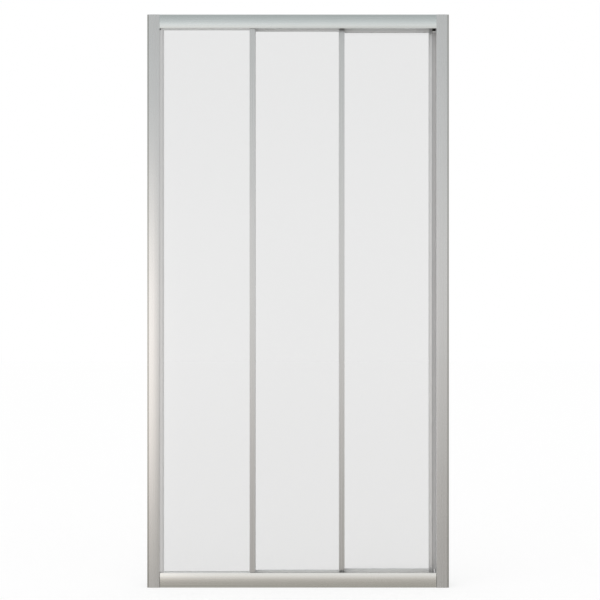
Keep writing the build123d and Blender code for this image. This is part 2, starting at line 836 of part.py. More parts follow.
def sliding_panel(name, y, left_x, right_x, left_glass, right_glass, seats):
    """The pieces that both sliding panels have. left_x and right_x are the sight edges."""
    place = Pos(0, y, 0)
    rollers = (left_x + roller_inset, right_x - roller_inset)
    shoes = (left_x + shoe_inset, right_x - shoe_inset)
    both = [Pos(x, y, 0) for x in rollers]
    inner_ring = bearing_ring(axle_radius, bearing_split_radius)
    pieces = {
        f"{name}_glass": place * glass_pane(left_glass, right_glass),
        f"{name}_glazing_gasket": place * glazing_gasket(left_glass, right_glass, left_x, right_x),
        f"{name}_top_rail": place * along_x(panel_top_rail_section(), left_x, right_x),
        f"{name}_bottom_rail": place * along_x(panel_bottom_rail_section(), left_x, right_x),
        f"{name}_corner_screws": place * corner_screws(*seats),
        f"{name}_roller_brackets": Compound(children=[at * roller_bracket() for at in both]),
        f"{name}_bracket_screws": Compound(
            children=[at * screw for at in both for screw in bracket_screws()]
        ),
        f"{name}_roller_axles": Compound(children=[at * roller_axle() for at in both]),
        f"{name}_bearing_inner_rings": Compound(
            children=[Pos(x, y + roller_y, axle_z) * inner_ring for x in rollers]
        ),
        f"{name}_guide_shoes": Compound(
            children=[Pos(x, y, 0) * guide_shoe(shoe_floor_gap) for x in shoes]
        ),
    }
    ring_bore = bearing_split_radius + bearing_running_gap
    outer_ring = bearing_ring(ring_bore, bearing_outer_radius - seat_clearance)
    for side, x in zip(("left", "right"), rollers):
        at = Pos(x, y + roller_y, axle_z)
        pieces[f"{name}_{side}_roller_tyre"] = at * roller_tyre()
        pieces[f"{name}_{side}_roller_bearing"] = at * outer_ring
        print(f"{name} {side} roller axle at", round(x, 4), round(y + roller_y, 4), round(axle_z, 4))
    return pieces


def glass_edges():
    """Outer edges of the three panes: left and right of each, in the order of the panels."""
    into_stile = stile_pocket - gasket_base
    half = stile_width / 2
    return (
        (-panel_end_x + panel_wall + gasket_base, first_stile_x - half + into_stile),
        (first_stile_x + half - into_stile, second_stile_x - half + into_stile),
        (second_stile_x + half - into_stile, closing_stile_edge + closing_pocket - gasket_base),
    )


def fixed_panel():
    place = Pos(0, fixed_y, 0)
    left, right = glass_edges()[0]
    sight_left = wall_stile_edge
    sight_right = first_stile_x - stile_width / 2
    seat_in_stile = sight_right + stile_pocket + panel_wall
    hangers = (sight_left + roller_inset, sight_right - roller_inset)
    return {
        "fixed_glass": place * glass_pane(left, right),
        "fixed_glazing_gasket": place * glazing_gasket(left, right, sight_left, sight_right),
        "fixed_wall_stile": place * wall_stile(),
        "fixed_interlock_stile": Pos(first_stile_x, fixed_y, 0) * interlock_stile(),
        "fixed_top_rail": place * along_x(panel_top_rail_section(), sight_left, sight_right),
        "fixed_bottom_rail": place * along_x(panel_bottom_rail_section(), sight_left, sight_right),
        "fixed_corner_screws": place * corner_screws(-panel_end_x, seat_in_stile),
        "fixed_hanger_blocks": Compound(children=[Pos(x, fixed_y, 0) * hanger_block() for x in hangers]),
        "fixed_setting_blocks": Compound(children=[Pos(x, fixed_y, 0) * guide_shoe(0) for x in hangers]),
        "fixed_pile_strip": place * pile_strip(first_stile_x),
    }


def middle_panel():
    """Turned stile on the left, so that its hook meets the fixed panel's."""
    half = stile_width / 2
    left_x = first_stile_x + half
    right_x = second_stile_x - half
    from_edge = stile_pocket + panel_wall
    seats = (left_x - from_edge, right_x + from_edge)
    pieces = sliding_panel("middle", middle_y, left_x, right_x, *glass_edges()[1], seats)
    turned = Rot(0, 0, 180) * interlock_stile()
    pieces["middle_trailing_stile"] = Pos(first_stile_x, middle_y, 0) * turned
    pieces["middle_leading_stile"] = Pos(second_stile_x, middle_y, 0) * interlock_stile()
    pieces["middle_pile_strip"] = Pos(0, middle_y, 0) * pile_strip(second_stile_x)
    return pieces


def leading_panel():
    half = stile_width / 2
    left_x = second_stile_x + half
    seats = (left_x - stile_pocket - panel_wall, closing_stile_edge + closing_pocket + panel_wall)
    place = Pos(0, leading_y, 0)
    pieces = sliding_panel("leading", leading_y, left_x, closing_stile_edge, *glass_edges()[2], seats)
    turned = Rot(0, 0, 180) * interlock_stile()
    pieces["leading_trailing_stile"] = Pos(second_stile_x, leading_y, 0) * turned
    pieces["closing_stile"] = place * closing_stile()
    pieces["closing_magnet_strip"] = place * closing_magnet_strip()
    pieces["pick_up_pads"] = place * pick_up_pads()
    return pieces


def frame_pieces():
    return {
        "wall_profile_left": drilled_wall_profile(-1),
        "wall_profile_right": drilled_wall_profile(1),
        "jamb_left": jamb(-1),
        "jamb_right": jamb(1),
        "top_rail": top_rail(),
        "bottom_rail": bottom_rail(),
        "frame_corner_screws": frame_corner_screws(),
        "jamb_lock_screws": jamb_lock_screws(),
        "bottom_corner_gaskets": bottom_corner_gaskets(),
        "track_buffers": track_buffers(),
        "jamb_magnet_strip": jamb_magnet_strip(),
    }


def main():
    os.makedirs("parts", exist_ok=True)
    pieces = {**frame_pieces(), **fixed_panel(), **middle_panel(), **leading_panel()}
    for name, piece in pieces.items():
        export_step(piece, f"parts/{name}.step")
    print(len(pieces), "nodes")
    print("middle travel", round(middle_travel, 3), "leading travel", round(leading_travel, 3))
    print("rolling radius", round(rolling_radius, 3), "jamb half depth", jamb_half_depth)
    print("stile middles", round(first_stile_x, 3), round(second_stile_x, 3))


main()
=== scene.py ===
import json
import math
import bmesh
import bpy
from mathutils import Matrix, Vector


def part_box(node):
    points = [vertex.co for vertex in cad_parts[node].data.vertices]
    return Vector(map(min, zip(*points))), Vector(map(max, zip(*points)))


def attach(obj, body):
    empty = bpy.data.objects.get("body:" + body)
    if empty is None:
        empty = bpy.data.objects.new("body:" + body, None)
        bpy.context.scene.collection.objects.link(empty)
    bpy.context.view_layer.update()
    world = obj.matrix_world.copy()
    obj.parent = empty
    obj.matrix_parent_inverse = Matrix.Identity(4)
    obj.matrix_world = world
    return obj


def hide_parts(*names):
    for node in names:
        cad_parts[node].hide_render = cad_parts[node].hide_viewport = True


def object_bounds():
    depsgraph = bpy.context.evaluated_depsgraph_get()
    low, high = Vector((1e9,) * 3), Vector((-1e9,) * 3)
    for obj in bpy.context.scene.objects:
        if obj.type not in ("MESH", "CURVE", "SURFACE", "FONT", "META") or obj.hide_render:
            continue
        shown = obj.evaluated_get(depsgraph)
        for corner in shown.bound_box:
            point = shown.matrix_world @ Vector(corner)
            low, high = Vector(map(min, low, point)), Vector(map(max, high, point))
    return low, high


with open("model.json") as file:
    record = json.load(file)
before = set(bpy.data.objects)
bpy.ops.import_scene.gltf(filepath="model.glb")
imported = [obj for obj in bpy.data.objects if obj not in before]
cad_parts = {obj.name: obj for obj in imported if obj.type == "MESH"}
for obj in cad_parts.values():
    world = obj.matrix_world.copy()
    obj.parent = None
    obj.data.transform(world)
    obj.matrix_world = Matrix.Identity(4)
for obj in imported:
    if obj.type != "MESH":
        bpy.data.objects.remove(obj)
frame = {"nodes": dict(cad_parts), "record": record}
cadLow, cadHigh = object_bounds()
nodes = frame["nodes"]
bodyOf = {node: body for body, group in frame["record"]["behaviour"]["bodies"].items() for node in group}
slotOf = {row["node"]: row["material_slot"] for row in frame["record"]["subparts"]}
mm = 0.001
print("frame loaded:", len(nodes), "nodes")


# Helpers

def linear(hexColour):  # an sRGB colour such as "d7dad8", to the linear numbers that a shader takes
    parts = [int(hexColour[i:i + 2], 16) / 255 for i in (0, 2, 4)]
    return tuple(c / 12.92 if c <= 0.04045 else ((c + 0.055) / 1.055) ** 2.4 for c in parts) + (1.0,)


# One node, with its settings and what feeds each input. A number among the settings is an input by its
# place, and so is _0 among the links. The two colours of a Mix node are its inputs 6 and 7
def addNode(tree, kind, settings=None, **links):
    node = tree.nodes.new("ShaderNode" + kind)
    for key, value in (settings or {}).items():
        if isinstance(key, int) or key in node.inputs:
            node.inputs[key].default_value = value
        else:
            setattr(node, key, value)
    for key, source in links.items():
        socket = int(key[1:]) if key[1:].isdigit() else key.replace("_", " ")
        tree.links.new(source, node.inputs[socket])
    return node


def newMaterial(name):
    material = bpy.data.materials.new(name)
    material.use_nodes = True
    material.node_tree.nodes.clear()
    return material, material.node_tree


def dress(piece, material):
    piece.data.materials.clear()
    piece.data.materials.append(material)


# Materials

anodising = {
    "dieLineSpacing": 0.9,    # mm, drawn coarse enough to show: the real lines lie about 0.1 mm apart
    "dieLineLength": 700.0,   # mm
    "dieLineHeight": 0.003,   # mm
    "bathCloud": 160.0,       # mm, the soft clouds that the anodising bath leaves
    "roughnessSpread": 0.03,  # how far the die lines take the roughness up and down
}
paintedNoseHighlight = {"middle": 445.7, "half": 1.3, "colour": "fbfafa"}      # mm in X: a lighter strip down the nose of the closing stile's finger flange, a painted highlight


def anodisedAluminium(name, along, colour, colourWorn, roughness, oxide, polished=None):
    # Extruded, etched and anodised: a satin metal with faint lines along the bar from the die, under an
    # oxide film whose milkiness is the part of the surface that doesn't mirror. A strip, where one is given,
    # is lighter in colour: a painted highlight
    material, tree = newMaterial(name)
    where = addNode(tree, "TexCoord")
    across = 1 / (anodising["dieLineSpacing"] * mm)
    lengthwise = 1 / (anodising["dieLineLength"] * mm)
    scale = [lengthwise if axis == along else across for axis in "XYZ"]
    stretch = addNode(tree, "Mapping", {"Scale": scale}, Vector=where.outputs["Object"])
    lines = addNode(tree, "TexNoise", {"Scale": 1.0, "Detail": 3.0, "Roughness": 0.6},
                    Vector=stretch.outputs[0])
    clouds = addNode(tree, "TexNoise", {"Scale": 1 / (anodising["bathCloud"] * mm), "Detail": 2.0},
                     Vector=where.outputs["Object"])
    tone = addNode(tree, "Mix", {"data_type": "RGBA", 6: linear(colourWorn), 7: linear(colour)},
                   Factor=clouds.outputs[0])
    # where a strip is given, it is painted lighter than the metal around it: a painted highlight
    if polished:
        part = addNode(tree, "SeparateXYZ", _0=where.outputs["Object"])
        strip = addNode(tree, "Math", {"operation": "COMPARE", 1: polished["middle"] * mm,
                                       2: polished["half"] * mm}, _0=part.outputs["X"])
        tone = addNode(tree, "Mix", {"data_type": "RGBA", 7: linear(polished["colour"])},
                       _0=strip.outputs[0], _6=tone.outputs[2])
    spread = anodising["roughnessSpread"]
    rough = addNode(tree, "MapRange", {"From Min": 0.3, "From Max": 0.7, "To Min": roughness - spread,
                                       "To Max": roughness + spread}, Value=lines.outputs[0])
    bump = addNode(tree, "Bump", {"Strength": 0.35, "Distance": anodising["dieLineHeight"] * mm},
                   Height=lines.outputs[0])
    metal = addNode(tree, "BsdfPrincipled", {"Metallic": 1.0 - oxide}, Base_Color=tone.outputs[2],
                    Roughness=rough.outputs[0], Normal=bump.outputs[0])
    addNode(tree, "OutputMaterial", Surface=metal.outputs[0])
    return material


glazing = {
    "colour": "e9e9e9",
    "ior": 1.5,
    "rollerWave": 260.0,      # mm between the waves that the toughening oven's rollers leave
    "waveHeight": 0.02,       # mm
}


def toughenedGlass():
    # Float glass, toughened: clear and polished, with a slow wave that bends what it mirrors
    material, tree = newMaterial("toughenedFloatGlass")
    where = addNode(tree, "TexCoord")
    wave = addNode(tree, "TexNoise", {"Scale": 1 / (glazing["rollerWave"] * mm), "Detail": 1.0},
                   Vector=where.outputs["Object"])
    bump = addNode(tree, "Bump", {"Strength": 0.3, "Distance": glazing["waveHeight"] * mm},
                   Height=wave.outputs[0])
    pane = addNode(tree, "BsdfPrincipled", {
        "Base Color": linear(glazing["colour"]), "Transmission Weight": 1.0, "Roughness": 0.0,
        "IOR": glazing["ior"],
    }, Normal=bump.outputs[0])
    addNode(tree, "OutputMaterial", Surface=pane.outputs[0])
    return material


flowCloud = 14.0              # mm, the faint clouds where a plastic or rubber ran into its mould


def mouldedPolymer(name, colour, darker, roughness, grain, height, ior=1.5, sheen=0.0, coat=0.0):
    # A moulded or extruded plastic or rubber: one colour with faint flow clouds and a fine grain
    material, tree = newMaterial(name)
    where = addNode(tree, "TexCoord")
    flow = addNode(tree, "TexNoise", {"Scale": 1 / (flowCloud * mm), "Detail": 3.0},
                   Vector=where.outputs["Object"])
    fine = addNode(tree, "TexNoise", {"Scale": 1 / (grain * mm), "Detail": 2.0},
                   Vector=where.outputs["Object"])
    tone = addNode(tree, "Mix", {"data_type": "RGBA", 6: linear(darker), 7: linear(colour)},
                   Factor=flow.outputs[0])
    bump = addNode(tree, "Bump", {"Strength": 0.4, "Distance": height * mm}, Height=fine.outputs[0])
    body = addNode(tree, "BsdfPrincipled", {
        "Roughness": roughness, "IOR": ior, "Sheen Weight": sheen, "Coat Weight": coat,
    }, Base_Color=tone.outputs[2], Normal=bump.outputs[0])
    addNode(tree, "OutputMaterial", Surface=body.outputs[0])
    return material


endStop = {
    "padFrom": 1851.0,        # mm above the floor
    "pad": "1d1d1e",
    "foot": "c9c9c6",
    "roughness": 0.5,
    "grain": 0.6,             # mm
    "grainHeight": 0.015,     # mm
}


def twoShotBuffer():
    # Moulded in two shots: a pale nylon foot, and a black rubber pad where the panel meets it
    material, tree = newMaterial("twoShotBuffer")
    where = addNode(tree, "TexCoord")
    part = addNode(tree, "SeparateXYZ", _0=where.outputs["Object"])
    pad = addNode(tree, "Math", {"operation": "GREATER_THAN", 1: endStop["padFrom"] * mm},
                  _0=part.outputs["Z"])
    tone = addNode(tree, "Mix", {"data_type": "RGBA", 6: linear(endStop["foot"]), 7: linear(endStop["pad"])},
                   Factor=pad.outputs[0])
    fine = addNode(tree, "TexNoise", {"Scale": 1 / (endStop["grain"] * mm), "Detail": 2.0},
                   Vector=where.outputs["Object"])
    bump = addNode(tree, "Bump", {"Strength": 0.4, "Distance": endStop["grainHeight"] * mm},
                   Height=fine.outputs[0])
    body = addNode(tree, "BsdfPrincipled", {"Roughness": endStop["roughness"]}, Base_Color=tone.outputs[2],
                   Normal=bump.outputs[0])
    addNode(tree, "OutputMaterial", Surface=body.outputs[0])
    return material


ringHeight = 0.01             # mm, what the lathe or the grinding wheel leaves


def turnedSteel(name, colour, darker, roughness, ringSpacing):
    # Steel that is turned, ground or plated: fine clouds in its tone, which also roughen what it mirrors
    material, tree = newMaterial(name)
    where = addNode(tree, "TexCoord")
    rings = addNode(tree, "TexNoise", {"Scale": 1 / (ringSpacing * mm), "Detail": 4.0},
                    Vector=where.outputs["Object"])
    tone = addNode(tree, "Mix", {"data_type": "RGBA", 6: linear(darker), 7: linear(colour)},
                   Factor=rings.outputs[0])
    bump = addNode(tree, "Bump", {"Strength": 0.3, "Distance": ringHeight * mm}, Height=rings.outputs[0])
    metal = addNode(tree, "BsdfPrincipled", {"Metallic": 1.0, "Roughness": roughness},
                    Base_Color=tone.outputs[2], Normal=bump.outputs[0])
    addNode(tree, "OutputMaterial", Surface=metal.outputs[0])
    return material


uprightMetal = anodisedAluminium("satinAnodisedUpright", "Z", "d8d7d7", "d4d3d3", roughness=0.28, oxide=0.1)
# the nose of its finger flange gets a strip of painted highlight
closingMetal = anodisedAluminium("matteAnodisedClosingStile", "Z", "dad9d9", "d5d4d4", roughness=0.34,
                                 oxide=0.42, polished=paintedNoseHighlight)
pocketMetal = anodisedAluminium("matteAnodisedPocket", "Z", "d7d6d6", "d2d1d1", roughness=0.48, oxide=0.55)
# the header and threshold are lighter than the uprights' aluminium, cooler at the top and warmer at the
# bottom, for how light falls on the level bars: painted light
headerMetal = anodisedAluminium("satinAnodisedHeaderPaintedLight", "X", "eaeded", "e6e9e9", roughness=0.27, oxide=0.0)
thresholdMetal = anodisedAluminium("satinAnodisedThresholdPaintedLight", "X", "f5f3f0", "f1efec", roughness=0.27,
                                   oxide=0.0)
# lighter than the uprights' aluminium, so that the rail faces deep in the header's shade come out pale:
# painted light
panelRailMetalPaintedLight = anodisedAluminium("matteAnodisedPanelRailPaintedLight", "X", "f6f6f5", "f1f1f0", roughness=0.5,
                                   oxide=0.65)
# darker than the other aluminium: painted shade for the dark line along the outer edges, where the wall
# profile sits back beside the jamb
wallMetalPaintedShade = anodisedAluminium("anodisedWallProfilePaintedShade", "Z", "bdbcb9", "b3b2ae", roughness=0.34, oxide=0.0)
glass = toughenedGlass()
# paler than the grey gasket, so that the bands where it sits in shade along the panel rails come out light:
# painted light
gasketRubber = mouldedPolymer("extrudedGreyGasketPaintedLight", "d2d4d2", "c8cac8", roughness=0.5, grain=0.8,
                              height=0.02)
pileFibre = mouldedPolymer("wovenPile", "7a7b7a", "585958", roughness=0.9, grain=0.35, height=0.25,
                           sheen=0.4)
nylon = mouldedPolymer("mouldedNylon", "ecebe6", "e4e3dd", roughness=0.42, grain=0.5, height=0.01, ior=1.53)
blackRubber = mouldedPolymer("mouldedBlackRubber", "1b1b1c", "141415", roughness=0.62, grain=0.6,
                             height=0.02, sheen=0.1)
clearVinyl = mouldedPolymer("softClearVinyl", "dfe1df", "d5d8d5", roughness=0.3, grain=0.9, height=0.01,
                            coat=0.3)
magnetStrip = mouldedPolymer("extrudedMagnetStrip", "8b8d8c", "7d7f7e", roughness=0.5, grain=0.8,
                             height=0.015)
screwSteel = turnedSteel("passivatedStainless", "c3c2bf", "b3b2af", roughness=0.3, ringSpacing=0.7)
bearingSteel = turnedSteel("groundBearingSteel", "cfcfce", "bcbcbc", roughness=0.16, ringSpacing=0.5)
zincSteel = turnedSteel("zincPlatedSteel", "c6cacd", "b4b8b4", roughness=0.36, ringSpacing=3.0)
buffer = twoShotBuffer()
materialOf = {
    "toughened_glass": glass, "grey_gasket": gasketRubber, "grey_pile": pileFibre, "white_nylon": nylon,
    "black_rubber": blackRubber, "clear_vinyl": clearVinyl, "stainless_screw": screwSteel,
    "bearing_steel": bearingSteel, "zinc_plated_steel": zincSteel, "magnet_strip": magnetStrip,
}
print("materials made")


# Profiles with a bowed face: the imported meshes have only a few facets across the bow, so these are copies
# with the bow rounded

tolerance = {
    "merge": 0.002,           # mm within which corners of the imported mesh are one
    "flat": 0.5,              # degrees within which faces are one
    "place": 1e-6,            # m within which a point is still on the bow, and an edge is too short to keep
    "cut": 1e-7,              # m within which a cut goes through a point that is there
}
bow = {
    "cuts": 16,               # strips across it
    "smoothBelow": 14.0,      # degrees, so that the bow runs smooth and every corner stays a corner
}
arris = {
    "sharpAbove": 28.0,       # degrees
    "rail": 0.22,             # mm, on the header and the threshold
    "metal": 0.18,            # mm, on the other aluminium profiles
    "soft": 0.25,             # mm, on all else but glass
}


def mergedCopy(node):
    shape = bmesh.new()
    shape.from_mesh(nodes[node].data)
    bmesh.ops.remove_doubles(shape, verts=shape.verts, dist=tolerance["merge"] * mm)
    bmesh.ops.dissolve_limit(shape, angle_limit=math.radians(tolerance["flat"]), verts=shape.verts,
                             edges=shape.edges)
    return shape


def cutAcross(shape, direction, start, end):
    for i in range(1, bow["cuts"]):
        place = start + (end - start) * i / bow["cuts"]
        everything = shape.verts[:] + shape.edges[:] + shape.faces[:]
        bmesh.ops.bisect_plane(shape, geom=everything, dist=tolerance["cut"],
                               plane_co=Vector(direction) * place, plane_no=Vector(direction))


def arcOffset(place, middle, half, bulge):  # how far a bow stands out at a place
    radius = (half ** 2 + bulge ** 2) / (2 * bulge)
    return math.sqrt(max(radius ** 2 - (place - middle) ** 2, 0)) - (radius - bulge)


def breakArrises(shape, width):
    sharpAbove = math.radians(arris["sharpAbove"])
    sharp = [e for e in shape.edges if len(e.link_faces) == 2 and e.calc_face_angle(0) > sharpAbove]
    bmesh.ops.bevel(shape, geom=sharp, offset=width, offset_type="OFFSET", affect="EDGES", segments=2,
                    profile=0.5, material=-1, clamp_overlap=True)


def finishPiece(shape, name, node, material):
    smoothBelow = math.radians(bow["smoothBelow"])
    for edge in shape.edges:
        edge.smooth = len(edge.link_faces) == 2 and edge.calc_face_angle(0) < smoothBelow
    mesh = bpy.data.meshes.new(name)
    shape.to_mesh(mesh)
    shape.free()
    if "custom_normal" in mesh.attributes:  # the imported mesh's normals, which no longer fit once it is cut
        mesh.attributes.remove(mesh.attributes["custom_normal"])
    mesh.polygons.foreach_set("use_smooth", [True] * len(mesh.polygons))
    piece = bpy.data.objects.new(name, mesh)
    bpy.context.scene.collection.objects.link(piece)
    dress(piece, material)
    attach(piece, bodyOf[node])
    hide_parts(node)
    return piece


jamb = {
    "wide": 36.0,             # mm across its bowed face
    "face": 31.0,             # mm from the middle of the depth to the foot of the bow
    "corner": 0.95,           # mm, rounded, beside the bow
    "skin": 0.6,              # mm under the face from which a point moves with the bow
    "pocket": 459.05,         # mm from the middle of the door, where the fins of its pocket end
}


def makeJamb(node, name):
    low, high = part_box(node)
    shape = mergedCopy(node)
    wide = jamb["wide"] * mm
    outward = -1 if low.x < 0 else 1
    outer = low.x if outward < 0 else high.x
    inner = outer - outward * wide
    middle = (outer + inner) / 2
    corner = jamb["corner"] * mm
    start, end = sorted((outer - outward * corner, inner + outward * corner))
    cutAcross(shape, (1, 0, 0), start, end)
    face = jamb["face"] * mm
    bulge = max(high.y, -low.y) - face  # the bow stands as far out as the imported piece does
    for v in shape.verts:
        inside = start - tolerance["place"] < v.co.x < end + tolerance["place"]
        if inside and abs(v.co.y) > face - jamb["skin"] * mm:
            v.co.y = math.copysign(face + arcOffset(v.co.x, middle, wide / 2, bulge), v.co.y)
    bmesh.ops.dissolve_degenerate(shape, dist=tolerance["place"], edges=shape.edges)
    piece = finishPiece(shape, name, node, uprightMetal)
    piece.data.materials.append(pocketMetal)
    for fin in piece.data.polygons:  # the pocket's fins lie deeper, where the etch leaves them duller
        fin.material_index = int(abs(fin.center.x) < jamb["pocket"] * mm)


rail = {
    "edge": 29.5,             # mm from the middle of the depth to the top and bottom of the fascia
    "bulge": 2.2,             # mm that its middle stands further out
    "wall": 1.8,              # mm
    "near": 0.35,             # mm from the true arc within which a point belongs to it
}


def makeRail(node, name, material):
    low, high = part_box(node)
    shape = mergedCopy(node)
    middle = (low.z + high.z) / 2
    half = (high.z - low.z) / 2
    cutAcross(shape, (0, 0, 1), low.z, high.z)
    for v in shape.verts:
        lift = arcOffset(v.co.z, middle, half, rail["bulge"] * mm)
        for depth in (rail["edge"] * mm, (rail["edge"] - rail["wall"]) * mm):
            if abs(-v.co.y - depth - lift) < rail["near"] * mm:
                v.co.y = -depth - lift
    breakArrises(shape, arris["rail"] * mm)
    finishPiece(shape, name, node, material)


recess = {
    "arm": 0.42,              # mm, half as wide as an arm of the cross
    "reach": 1.75,            # mm from the middle to the end of an arm
    "depth": 1.1,             # mm
    "foot": 0.45,             # the share of the cross that is left at its foot
    "facing": 0.999,          # how squarely a screw's head faces along Y
    "headCorners": 8,         # a head has more corners than this
}


def cutCross(shape, face):  # a cross recess in the flat head of a screw that points along Y
    middle = face.calc_center_median()
    rim = list(face.edges)
    bmesh.ops.delete(shape, geom=[face], context="FACES_ONLY")
    corners = []
    for quarter in range(4):
        turn = quarter * math.pi / 2
        for u, v in ((recess["reach"], -recess["arm"]), (recess["reach"], recess["arm"]),
                     (recess["arm"], recess["arm"])):
            corners.append(Vector((u * math.cos(turn) - v * math.sin(turn), 0,
                                   u * math.sin(turn) + v * math.cos(turn))) * mm)
    drop = Vector((0, -recess["depth"] * mm, 0))
    top = [shape.verts.new(middle + corner) for corner in corners]
    foot = [shape.verts.new(middle + corner * recess["foot"] + drop) for corner in corners]
    lip = []
    for i in range(len(top)):
        j = (i + 1) % len(top)
        shape.faces.new((top[i], top[j], foot[j], foot[i]))
        lip.append(shape.edges.get((top[i], top[j])))
    shape.faces.new(foot)
    bmesh.ops.triangle_fill(shape, use_beauty=True, use_dissolve=False, edges=rim + lip, normal=(0, 1, 0))


def makeLockScrews(node, name):
    shape = mergedCopy(node)
    heads = [face for face in shape.faces
             if face.normal.y > recess["facing"] and len(face.verts) > recess["headCorners"]]
    for face in heads:
        cutCross(shape, face)
    bmesh.ops.recalc_face_normals(shape, faces=shape.faces)
    print("screw heads cut:", len(heads))
    finishPiece(shape, name, node, screwSteel)


makeJamb("jamb_left", "leftJamb")
makeJamb("jamb_right", "rightJamb")
makeRail("top_rail", "topRail", headerMetal)
makeRail("bottom_rail", "bottomRail", thresholdMetal)
makeLockScrews("jamb_lock_screws", "jambLockScrews")
print("jambs, rails and lock screws made")


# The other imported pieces: their own finish, merged, with broken arrises

ownFinish = {
    "wall_profile_left": wallMetalPaintedShade, "wall_profile_right": wallMetalPaintedShade, "track_buffers": buffer,
    "closing_stile": closingMetal, "fixed_wall_stile": pocketMetal,
}


def finishOf(node):
    if node in ownFinish:
        return ownFinish[node]
    if slotOf[node] != "anodised_aluminium":
        return materialOf[slotOf[node]]
    return panelRailMetalPaintedLight if node.endswith(("top_rail", "bottom_rail")) else uprightMetal


for node, piece in nodes.items():
    if piece.hide_render:
        continue
    slot = slotOf[node]
    dress(piece, finishOf(node))
    weld = piece.modifiers.new("weld", "WELD")
    weld.merge_threshold = tolerance["merge"] * mm
    flat = piece.modifiers.new("flat", "DECIMATE")
    flat.decimate_type = "DISSOLVE"
    flat.angle_limit = math.radians(tolerance["flat"])
    if slot == "toughened_glass":
        piece.visible_shadow = False      # lamps shine through clear glass
        continue
    bevel = piece.modifiers.new("arris", "BEVEL")
    bevel.width = arris["metal" if slot == "anodised_aluminium" else "soft"] * mm
    bevel.segments = 2
    bevel.limit_method = "ANGLE"
    bevel.angle_limit = math.radians(arris["sharpAbove"])
    even = piece.modifiers.new("evenNormals", "WEIGHTED_NORMAL")
    even.weight = 80
    even.thresh = 1e-7
print("packed pieces finished")


# Camera, at the photograph's place: straight in front, about level with the middle of the door

view = {
    "distance": 3800.0,       # mm in front of the door
    "offX": 6.3,              # mm to the right of its middle
    "height": 953.6,          # mm above the floor
    "mmPerPixel": 3.3135,     # at the front of the door
    "pixelsAcross": 600.0,
    "sensor": 36.0,           # mm
}
camera = bpy.data.cameras.new("camera")
cameraObject = bpy.data.objects.new("camera", camera)
bpy.context.scene.collection.objects.link(cameraObject)
cameraObject.location = (view["offX"] * mm, cadLow.y - view["distance"] * mm, view["height"] * mm)
cameraObject.rotation_euler = (math.radians(90), 0, 0)
camera.sensor_width = view["sensor"]
camera.lens = view["sensor"] * view["distance"] / (view["pixelsAcross"] * view["mmPerPixel"])
bpy.context.scene.camera = cameraObject
print("camera placed")


# Floor, studio and light

def onlyMirrored(piece):  # it shows in what mirrors, and nowhere else
    piece.visible_camera = False
    piece.visible_diffuse = False
    piece.visible_transmission = False
    piece.visible_shadow = False
    piece.visible_volume_scatter = False


def stagePiece(shape, name, material):
    mesh = bpy.data.meshes.new(name)
    shape.to_mesh(mesh)
    shape.free()
    piece = bpy.data.objects.new(name, mesh)
    bpy.context.scene.collection.objects.link(piece)
    dress(piece, material)
    return piece


floorLook = {
    "half": 14.0,             # m
    "white": 0.7,             # what it gives by itself, the same to every ray
    "matt": 0.3,              # what it takes from the lamps, and so the depth of the shadow
}


def makeFloor():
    material, tree = newMaterial("paleFloor")
    matt = addNode(tree, "BsdfDiffuse", {"Color": (floorLook["matt"],) * 3 + (1.0,)})
    lift = addNode(tree, "Emission", {"Color": (1, 1, 1, 1), "Strength": floorLook["white"]})
    both = addNode(tree, "AddShader", _0=matt.outputs[0], _1=lift.outputs[0])
    addNode(tree, "OutputMaterial", Surface=both.outputs[0])
    shape = bmesh.new()
    bmesh.ops.create_grid(shape, x_segments=1, y_segments=1, size=floorLook["half"])
    floor = stagePiece(shape, "floor", material)
    floor.visible_glossy = False      # the metal mirrors the dome all round, down to below its foot


domeLook = {
    "radius": 30.0,           # m
    "tones": [                # from straight below to straight above
        (0.0, "6c6b68"), (0.2, "a5a49e"), (0.385, "a9a69f"), (0.44, "bfbbb5"), (0.485, "f0efec"),
        (0.555, "f4f6f5"), (0.615, "d6dbdb"), (0.78, "b0b5b4"), (1.0, "bfc3c2"),
    ],
    "glow": 0.25,             # how much brighter it is at the window side, to the left
    "glowUnder": 0.05,        # how far under level the middle of that glow lies, as a share of the radius
    "glowEven": 0.04,         # how far it stays even, up and down
    "glowEnd": 0.24,          # and where it has gone
    "glowFull": -0.1,         # the place in X to the left of which it is full
    "sides": 0.05,            # how much brighter both sides are
    "sidesFrom": 0.35,
    "sidesFull": 0.8,
}


